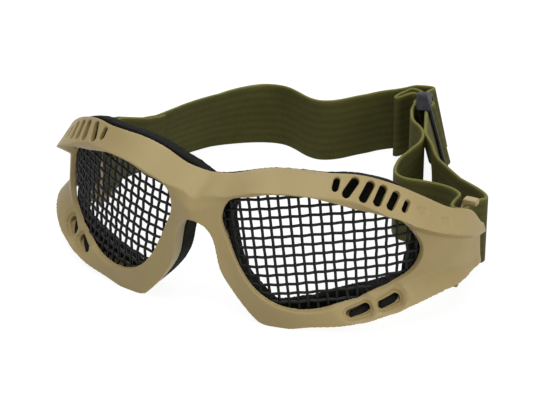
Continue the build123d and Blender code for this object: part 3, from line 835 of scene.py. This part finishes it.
gasket = moulded("foam_gasket_ring", "foam_gasket", voxel=0.45 * MM, rounds=8, kept=1)
reshape(gasket, draw_in_nose_wall)
reshape(gasket, widen_ring)
reshape(gasket, reach_back)
reshape(gasket, lower_right_top)
# The vent pads are dark foam set in the vents, partly as painted shade for their dark inside.
add_mesh(gasket, vent_foam_and_shade())
gasket.data.materials.append(foam_black)
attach(gasket, "goggles")
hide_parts("foam_gasket")

# %% [markdown]
# The strap stands on its edge, so its shape is a line seen from above, carried up by the width.
# The line follows listed corners. Cutting each corner again and again at a quarter of its
# sides (Chaikin's way) turns the corners into one smooth curve, which is then divided evenly.


# %% Routes seen from above
def smooth_route(corners, rounds=5):
    """Each round replaces a corner by two points, a quarter along the runs beside it."""
    line = np.array(corners) * MM
    for _ in range(rounds):
        ahead = 0.75 * line[:-1] + 0.25 * line[1:]
        behind = 0.25 * line[:-1] + 0.75 * line[1:]
        cut = np.stack([ahead, behind], axis=1).reshape(-1, 2)
        line = np.concatenate([line[:1], cut[1:-1], line[-1:]])
    return line


def evenly(line, step):
    """The same line divided into equal steps."""
    lengths = np.concatenate([[0], np.cumsum(np.hypot(*np.diff(line, axis=0).T))])
    places = np.linspace(0, lengths[-1], int(lengths[-1] / step) + 1)
    return np.stack([np.interp(places, lengths, part) for part in line.T], axis=-1), places


strap_corners = [
    (-71.99, 16.89), (-75.17, 9.04), (-78.34, -8.83), (-74.4, -12.0), (-74.4, -20.35),
    (-80.8, -20.35), (-80.8, -12.0), (-80.01, -8.53), (-76.79, 9.51), (-73.57, 17.53),
    (-69.0, 32.51), (-61.04, 47.49), (-52.0, 56.98), (-44.03, 62.47), (-35.98, 64.16),
    (-29.0, 61.52), (-22.02, 57.51), (-15.48, 56.35), (-9.04, 60.46), (-3.49, 68.48),
    (3.04, 75.97), (11.28, 79.98), (18.97, 85.05), (28.64, 87.58), (26.89, 82.09),
    (28.52, 78.00), (34.44, 63.14), (41.10, 46.42), (45.47, 35.46), (48.51, 29.03),
    (53.97, 23.96), (67.39, 12.36), (75.99, 5.5), (81.98, -1.04), (84.58, -7.48),
    (80.8, -12.0), (80.8, -20.35), (74.4, -20.35), (74.4, -12.0),
]
return_corners = [
    (74.4, -12.0), (74.4, -8.5), (69.0, -2.52), (62.02, -0.51), (55.04, -1.25),
    (48.96, -3.47), (44.03, 0.01), (40.01, 7.5), (37.2, 16.5), (36.9, 23.5),
    (38.1, 30.3), (39.8, 35.4), (38.6, 41.4), (34.4, 46.6), (29.54, 50.55),
    (27.03, 55.51), (24.52, 61.52), (23.54, 69.54), (22.46, 75.02), (19.51, 77.45),
    (17.0, 74.5), (14.5, 69.96), (12.53, 71.01), (13.96, 76.5), (18.62, 82.09),
    (25.60, 81.15), (27.08, 77.43), (28.93, 72.79), (30.89, 67.86), (27.73, 66.60),
    (26.26, 70.31), (27.07, 72.87), (25.48, 76.86),
]

# %% [markdown]
# The doubled layers are stiffer than one, so where the slider holds the strap it tips inwards at
# its top. The same tip is given to everything there: full along the stretch that the slider
# travels, and fading out beyond it. Between the slider's outer bars the strap bulges outwards.
# Behind the left bar the strap has a lean of its own.

# %% Tip, bulge and lean
SLIDER_MIDDLE = np.array((31.483, 70.572)) * MM
SLIDER_ALONG = np.array((0.369997, -0.929033))
SLIDER_INNER = np.array((-0.929033, -0.369997))
TIP = 0.28
TIP_HEIGHT = 16.9 * MM
TIP_REACH = (-9 * MM, 28 * MM)
TIP_FADE = (14 * MM, 9 * MM)
BULGE = 3.0 * MM
BULGE_REACH = 6.0 * MM


def beside_slider(places):
    """Distances of plan places from the slider's middle: along its run and towards the inside."""
    offset = places - SLIDER_MIDDLE
    return offset @ SLIDER_ALONG, offset @ SLIDER_INNER


def tip_share(places):
    """One along the travel; beyond it and beside it, e to the minus square of the distance."""
    along, inner = beside_slider(places)
    low, high = TIP_REACH
    past = np.maximum(low - along, 0) / TIP_FADE[0] + np.maximum(along - high, 0) / TIP_FADE[1]
    aside = np.maximum(np.abs(inner) - 5 * MM, 0) / (6 * MM)
    return np.exp(-(past**2) - aside**2)


def tipped(points, share):
    """Points moved inwards by their share of the tip, times their height above its middle."""
    shift = share * TIP * (points[..., 2] - TIP_HEIGHT)
    moved = points.copy()
    moved[..., :2] += shift[..., None] * SLIDER_INNER
    return moved


def full_tip(points):
    """All points with the full tip, as a rigid lean."""
    return tipped(points, np.ones(len(points)))


LEFT_LEAN = 0.27
LEFT_LEAN_HEIGHT = 10.5 * MM
LEFT_INNER = np.array((0.9, -0.43))


def lean_left(points):
    """Behind the left bar the strap leans inwards: by a share of the height above a level, full
    from 7 to 46 mm behind the middle of the part and fading out at both ends."""
    x, y, z = points.T
    share = np.interp(y / MM, (-4, 7, 46, 62), (0, 1, 1, 0)) * (x < -40 * MM)
    moved = points.copy()
    moved[:, :2] += (share * LEFT_LEAN * (z - LEFT_LEAN_HEIGHT))[:, None] * LEFT_INNER
    return moved


# %% [markdown]
# The band is a flat oval profile of 28 by 1.4 mm. Its lower edge hangs on the bars in front, lies
# on the table behind the ears, and is lifted a little where the slider stands under it.

# %% Band of webbing
STRAP_WIDTH = 28.0 * MM
STRAP_THICKNESS = 1.4 * MM
# Heights of the lower edge at the bars and at the slider, and in mm where it falls and rises
BAR_HEIGHT = 5.5 * MM
SLIDER_LIFT = 2.9 * MM
FALL = (-9.06, 14.15)
LIFT_SIDE = 19.7
LIFT_START = 26.8
LIFT_RUN = 14.8


def lower_edge(line):
    """Height of the band's lower edge: falls behind the bars, rises towards the slider."""
    x, y = line.T / MM
    front = np.interp(y, FALL, (BAR_HEIGHT, 0))
    rear = np.clip(x / LIFT_SIDE, 0, 1) * np.clip((y - LIFT_START) / LIFT_RUN, 0, 1) * SLIDER_LIFT
    return front + rear


def band_profile():
    """Distances out of the line and up the width, once round the band's edge: two flat faces in
    24 steps each, joined by half circles of half the thickness."""
    half = STRAP_THICKNESS / 2
    turn = np.linspace(0, pi, 7)[:-1]
    rise = np.linspace(half, STRAP_WIDTH - half, 25)
    flat = np.full(24, half)
    top = STRAP_WIDTH - half + half * np.sin(turn)
    bottom = half - half * np.sin(turn)
    out = np.concatenate([flat, half * np.cos(turn), -flat, -half * np.cos(turn)])
    return out, np.concatenate([rise[:-1], top, rise[:0:-1], bottom])


def band(name, corners, tip_from, bulge):
    """The profile carried along the route: its thickness lies across the line, seen from above,
    and its width is upright. The tip starts at a length along the band, tip_from, and the bulge
    is a cosine hump. The UV map holds metres along and across."""
    line, places = evenly(smooth_route(corners), 1.0 * MM)
    run, inner = beside_slider(line)
    hump = np.cos(np.clip(run / BULGE_REACH, -1, 1) * pi / 2) ** 2 * (np.abs(inner) < 1 * MM)
    line = line - bulge * hump[:, None] * SLIDER_INNER
    ahead = np.gradient(line, axis=0)
    ahead /= np.linalg.norm(ahead, axis=1, keepdims=True)
    across = np.stack([ahead[:, 1], -ahead[:, 0]], axis=-1)
    out, up = band_profile()
    sides = len(up)
    rings = np.empty((len(line), sides, 3))
    rings[..., :2] = line[:, None] + out[None, :, None] * across[:, None]
    rings[..., 2] = lower_edge(line)[:, None] + up[None]
    share = tip_share(line) * np.clip((places - tip_from) / (12 * MM), 0, 1)
    rings = tipped(rings, share[:, None])
    piece = new_piece(name, rings.reshape(-1, 3), tube_faces(len(line), sides))
    girth = np.concatenate([[0], np.cumsum(np.hypot(np.diff(up), np.diff(out)))])
    corner_points = np.empty(len(piece.data.loops), dtype=int)
    piece.data.loops.foreach_get("vertex_index", corner_points)
    uv = np.stack([places[corner_points // sides], girth[corner_points % sides]], axis=-1)
    piece.data.uv_layers.new(name="cloth").data.foreach_set("uv", uv.ravel())
    # Painted highlight: the share near the band's two edges, which the webbing's colour makes paler.
    near_edge = np.tile(np.clip(1 - np.minimum(up, STRAP_WIDTH - up) / (0.9 * MM), 0, 1), len(line))
    piece.data.attributes.new("painted_edge_highlight", "FLOAT", "POINT").data.foreach_set("value", near_edge)
    face_outwards(piece)
    piece.data.materials.append(olive)
    print(name, "length", round(places[-1] / MM), "mm")
    return piece, places[-1]


# %% [markdown]
# Each loop is closed by a bar tack: a machine sews a dense zigzag up the band and back. The thread
# dips into the cloth at every turn and arches over it between turns.


# %% Bar tacks
TACK_TURNS = 30
TACK_HEIGHT = 0.8
THREAD_RADIUS = 0.16 * MM


def tack(name, middle, along, out, height):
    """Two zigzag threads side by side: each climbs the band's width in even steps, and swings along
    the band from turn to turn."""
    span = np.linspace(0, TACK_TURNS, TACK_TURNS * 6 + 1)
    swing = 2 * np.abs(span % 2 - 1) - 1
    arch = np.abs(np.sin(pi * span)) ** 0.5
    paths = []
    for row in (-0.6, 0.6):
        path = np.empty((len(span), 3))
        path[:, :2] = np.array(middle) * MM + np.outer((row + 0.45 * swing) * MM, along)
        path[:, :2] += np.outer(0.16 * arch * MM, out)
        path[:, 2] = height + (span / TACK_TURNS - 0.5) * TACK_HEIGHT * STRAP_WIDTH
        paths.append(path)
    piece = new_piece(name, *join_tubes(paths, THREAD_RADIUS, 6))
    face_outwards(piece)
    piece.data.materials.append(thread)
    return piece


# %% [markdown]
# The long run starts as a short flap inside the left loop and goes round the left bar, behind the
# head, past the slider and round the right bar. Its tack is placed by the flap's own direction.

# %% Strap
strap, strap_length = band("strap_webbing", strap_corners, 0.0, BULGE)
flap_along = np.array((0.176, 0.984))
flap_out = np.array((0.984, -0.176))
strap_tack = tack("strap_bar_tack", (-76.755, 0.105) + 0.72 * flap_out, flap_along, flap_out, 17.0 * MM)
for piece, stands_for in ((strap, "strap"), (strap_tack, "strap_stitches")):
    reshape(piece, lean_left)
    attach(piece, "strap")
    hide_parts(stands_for)

# %% [markdown]
# The doubled-back end goes from the right bar to the slider's middle bar. When the slider moves,
# the slack between them bends; this piece is built in place and its transform is baked into its points.

# %% Doubled-back end
doubled, doubled_length = band("strap_doubled_end", return_corners, 120 * MM, 0.0)
tack_middle = (26.275, 74.865) + 0.72 * SLIDER_INNER
doubled_tack = tack("return_bar_tack", tack_middle, SLIDER_ALONG, SLIDER_INNER, TIP_HEIGHT)
reshape(doubled_tack, full_tip)
for piece, stands_for in ((doubled, "strap_return"), (doubled_tack, "return_stitches")):
    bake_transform(piece)
    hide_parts(stands_for)

# %% [markdown]
# The slider is one moulding: two end plates joined by three upright bars. The plates narrow past
# the webbing, and the whole slider leans with the webbing that it holds.

# %% Slider
PLATE_DEPTH = 2.7 * MM
PLATE_MIDDLE = 0.6 * MM
PLATE_HALF = 9.5 * MM
PLATE_ARCH = 1.4 * MM


def round_plates(points):
    """Past the webbing's edges the end plates narrow with the distance to the power of one and a
    half, and the upper plate arches along its length by a square."""
    along, inner = beside_slider(points[:, :2])
    past = np.clip((np.abs(points[:, 2] - TIP_HEIGHT) - STRAP_WIDTH / 2) / PLATE_DEPTH, 0, 1)
    arch = PLATE_ARCH * past * (1 - (along / PLATE_HALF) ** 2)
    along = along * (1 - 0.55 * past**1.5)
    inner = PLATE_MIDDLE + (inner - PLATE_MIDDLE) * (1 - 0.5 * past**1.5)
    moved = points.copy()
    moved[:, :2] = SLIDER_MIDDLE + along[:, None] * SLIDER_ALONG + inner[:, None] * SLIDER_INNER
    moved[:, 2] += arch * (points[:, 2] > TIP_HEIGHT)
    return moved


slider_piece = moulded("three_bar_slider", "slider", voxel=0.2 * MM, rounds=12, kept=1)
reshape(slider_piece, round_plates)
reshape(slider_piece, full_tip)
slider_piece.data.materials.append(charcoal)
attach(slider_piece, "slider")
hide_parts("slider")

# %% [markdown]
# The photograph is a product shot on white. The table and the world are plain white to the camera
# and in reflections, and the table still takes the goggles' soft shadow.


# %% White stage
def seen_directly(tree):
    """1 for rays from the camera or from a reflection or a clear surface, otherwise 0."""
    path = tree.nodes.new("ShaderNodeLightPath")
    total = path.outputs["Is Camera Ray"]
    for ray in ("Is Glossy Ray", "Is Transmission Ray"):
        most = tree.nodes.new("ShaderNodeMath")
        most.operation = "MAXIMUM"
        tree.links.new(total, most.inputs[0])
        tree.links.new(path.outputs[ray], most.inputs[1])
        total = most.outputs[0]
    return total


def blend_shaders(tree, factor, first, second):
    """The first shader where the factor is 0 and the second where it is 1."""
    mix = tree.nodes.new("ShaderNodeMixShader")
    tree.links.new(factor, mix.inputs[0])
    tree.links.new(first, mix.inputs[1])
    tree.links.new(second, mix.inputs[2])
    return mix.outputs[0]


table_white = bpy.data.materials.new("white_table")
table_white.use_nodes = True
tree = table_white.node_tree
tree.nodes.clear()
lit = tree.nodes.new("ShaderNodeBsdfDiffuse")
lit.inputs["Color"].default_value = (0.75, 0.75, 0.75, 1)
faint = tree.nodes.new("ShaderNodeBsdfDiffuse")
faint.inputs["Color"].default_value = (0.16, 0.16, 0.16, 1)
glow = tree.nodes.new("ShaderNodeEmission")
glow.inputs["Strength"].default_value = 0.92
both = tree.nodes.new("ShaderNodeAddShader")
tree.links.new(faint.outputs[0], both.inputs[0])
tree.links.new(glow.outputs[0], both.inputs[1])
table_out = tree.nodes.new("ShaderNodeOutputMaterial")
seen = blend_shaders(tree, seen_directly(tree), lit.outputs[0], both.outputs[0])
tree.links.new(seen, table_out.inputs["Surface"])
table_points = np.array([(-3, -3, 0), (3, -3, 0), (3, 3, 0), (-3, 3, 0)], dtype=float)
table = new_piece("table", table_points, [[0, 1, 2, 3]])
table.data.materials.append(table_white)

# %% [markdown]
# The world lights the goggles evenly and looks white to the camera. Three large square lamps add
# soft light from above, from the right and from behind.

# %% World and lamps
world = bpy.data.worlds.new("studio")
scene.world = world
world.use_nodes = True
tree = world.node_tree
tree.nodes.clear()
room = tree.nodes.new("ShaderNodeBackground")
room.inputs["Strength"].default_value = 0.40
white = tree.nodes.new("ShaderNodeBackground")
white.inputs["Strength"].default_value = 1.0
world_out = tree.nodes.new("ShaderNodeOutputWorld")
shown = blend_shaders(tree, seen_directly(tree), room.outputs[0], white.outputs[0])
tree.links.new(shown, world_out.inputs["Surface"])


def soft_lamp(name, place_at, aim, size, power):
    """A square lamp that faces a point."""
    lamp = bpy.data.objects.new(name, bpy.data.lights.new(name, "AREA"))
    lamp.data.size = size
    lamp.data.energy = power
    lamp.location = place_at
    lamp.rotation_euler = (Vector(aim) - Vector(place_at)).to_track_quat("-Z", "Y").to_euler()
    scene.collection.objects.link(lamp)


soft_lamp("key", (0.0, -0.3, 1.2), (0, 0, 0.02), 0.8, 7)
soft_lamp("fill", (1.1, -0.4, 0.5), (0, 0, 0.02), 0.9, 5)
soft_lamp("rear", (-0.3, 0.9, 0.8), (0, 0, 0.02), 0.8, 4)
